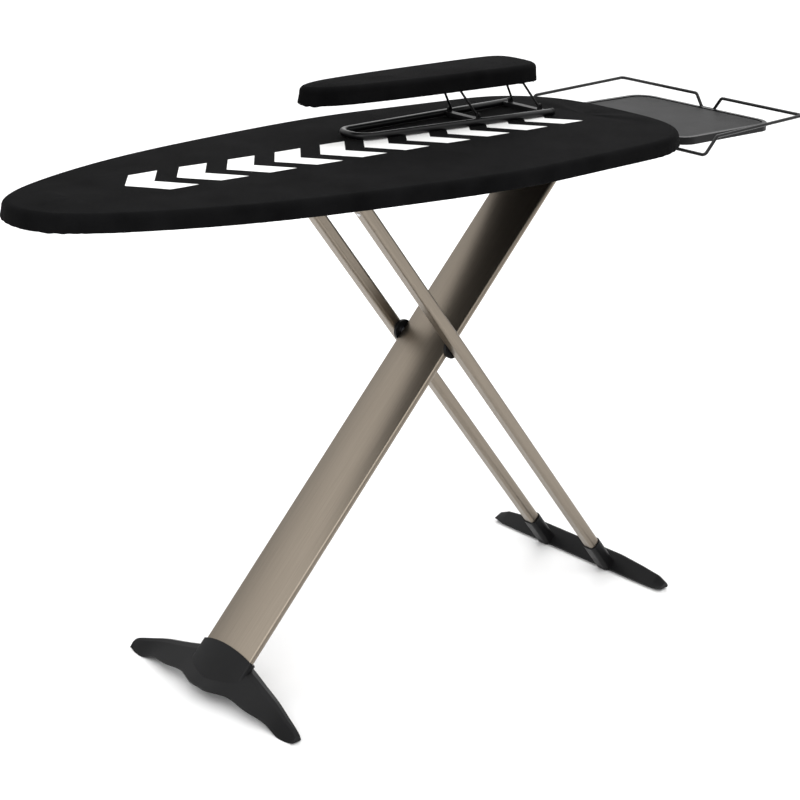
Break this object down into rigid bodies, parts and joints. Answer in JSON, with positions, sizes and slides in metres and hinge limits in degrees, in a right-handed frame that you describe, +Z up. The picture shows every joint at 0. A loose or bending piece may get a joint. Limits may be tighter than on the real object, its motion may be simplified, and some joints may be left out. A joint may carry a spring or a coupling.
{
  "type": "sleeve ironing board",
  "caption": "Folding ironing board with a pointed nose, wide front leg, two narrow rear legs, fold-down sleeve board, iron rest and swinging wire rack.",
  "frame": {"origin": "on the floor, midway between the board's nose and the end of the wire rack, on the board's centre line", "axes": "+X along the board towards the iron rest, nose at -X; +Y across the board, away from the release lever; +Z up"},
  "size_m": [1.554, 0.495, 0.974],
  "materials": {
    "cover_cloth": "matte black cotton",
    "felt": "grey felt",
    "dark_steel": "black powder coat",
    "bright_steel": "zinc-plated",
    "bronze_aluminium": "bronze anodised, satin",
    "black_plastic": "satin black moulding",
    "rest_plate": "dark grey heatproof coat",
    "black_wire": "black coated wire"
  },
  "bodies": {
    "board": {"board_cover": "cover_cloth", "board_felt": "felt", "board_panel": "dark_steel", "board_rim": "dark_steel", "nose_rib": "dark_steel", "middle_rib": "dark_steel", "leg_rib": "dark_steel", "rest_rib": "dark_steel", "long_rib_near": "dark_steel", "long_rib_far": "dark_steel", "leg_hinge_bracket": "dark_steel", "leg_hinge_pin": "bright_steel", "height_rail_near": "dark_steel", "height_rail_far": "dark_steel", "lever_pivot": "dark_steel", "iron_rest_tray": "black_plastic", "iron_rest_plate": "rest_plate", "rest_arm_near": "dark_steel", "rest_arm_far": "dark_steel", "iron_rest_screws": "bright_steel", "rack_clip_near": "black_plastic", "rack_clip_far": "black_plastic", "rack_rest": "black_plastic", "sleeve_frame": "black_wire", "sleeve_frame_cap_near": "black_plastic", "sleeve_frame_cap_far": "black_plastic", "sleeve_rear_bar": "dark_steel", "sleeve_front_bar": "dark_steel"},
    "wide_leg": {"wide_leg_tube": "bronze_aluminium", "wide_leg_plug": "black_plastic", "front_foot": "black_plastic", "front_foot_cap_near": "black_plastic", "front_foot_cap_far": "black_plastic", "cross_axle": "bright_steel", "axle_bush_near": "black_plastic", "axle_bush_far": "black_plastic"},
    "rear_legs": {"narrow_leg_near": "bronze_aluminium", "narrow_leg_far": "bronze_aluminium", "narrow_leg_cap_near": "black_plastic", "narrow_leg_cap_far": "black_plastic", "rear_foot": "black_plastic", "rear_foot_cap_near": "black_plastic", "rear_foot_cap_far": "black_plastic", "sliding_bar": "bright_steel", "slide_roller_near": "black_plastic", "slide_roller_far": "black_plastic"},
    "release_lever": {"release_lever": "dark_steel", "lever_grip": "black_plastic"},
    "wire_rack": {"wire_rack": "black_wire"},
    "rear_bracket": {"sleeve_rear_bracket": "black_wire"},
    "front_bracket": {"sleeve_front_bracket": "black_wire"},
    "sleeve_board": {"sleeve_platform": "dark_steel", "sleeve_felt": "felt", "sleeve_cover": "cover_cloth", "rear_saddles": "black_plastic", "front_saddles": "black_plastic"}
  },
  "joints": [
    {"name": "leg_fold", "type": "hinge", "parent": "board", "child": "wide_leg", "pos_m": [0.326, 0, 0.828], "axis": [0, 1, 0], "range_deg": [0, 44]},
    {"name": "leg_scissor", "type": "hinge", "parent": "wide_leg", "child": "rear_legs", "pos_m": [0.0489, 0, 0.5277], "axis": [0, -1, 0], "range_deg": [0, 88.3]},
    {"name": "height_release", "type": "hinge", "parent": "board", "child": "release_lever", "pos_m": [-0.166, -0.1045, 0.856], "axis": [0, 1, 0], "range_deg": [0, 4], "stiffness_Nm_per_rad": 2, "springref_deg": -5.73},
    {"name": "rack_swing", "type": "hinge", "parent": "board", "child": "wire_rack", "pos_m": [0.494, 0, 0.834], "axis": [0, -1, 0], "range_deg": [0, 90]},
    {"name": "sleeve_fold", "type": "hinge", "parent": "board", "child": "rear_bracket", "pos_m": [0.343, 0.077, 0.892], "axis": [0, -1, 0], "range_deg": [0, 38]},
    {"name": "sleeve_front_fold", "type": "hinge", "parent": "board", "child": "front_bracket", "pos_m": [0.1885, 0.077, 0.892], "axis": [0, -1, 0], "range_deg": [0, 38.4]},
    {"name": "sleeve_level", "type": "hinge", "parent": "rear_bracket", "child": "sleeve_board", "pos_m": [0.307, 0.077, 0.939], "axis": [0, 1, 0], "range_deg": [0, 38.4]}
  ],
  "couplings": [
    {"joint": "leg_scissor", "follows": "leg_fold", "ratio": 1.9966},
    {"joint": "sleeve_front_fold", "follows": "sleeve_fold", "ratio": 1},
    {"joint": "sleeve_level", "follows": "sleeve_fold", "ratio": 1}
  ]
}
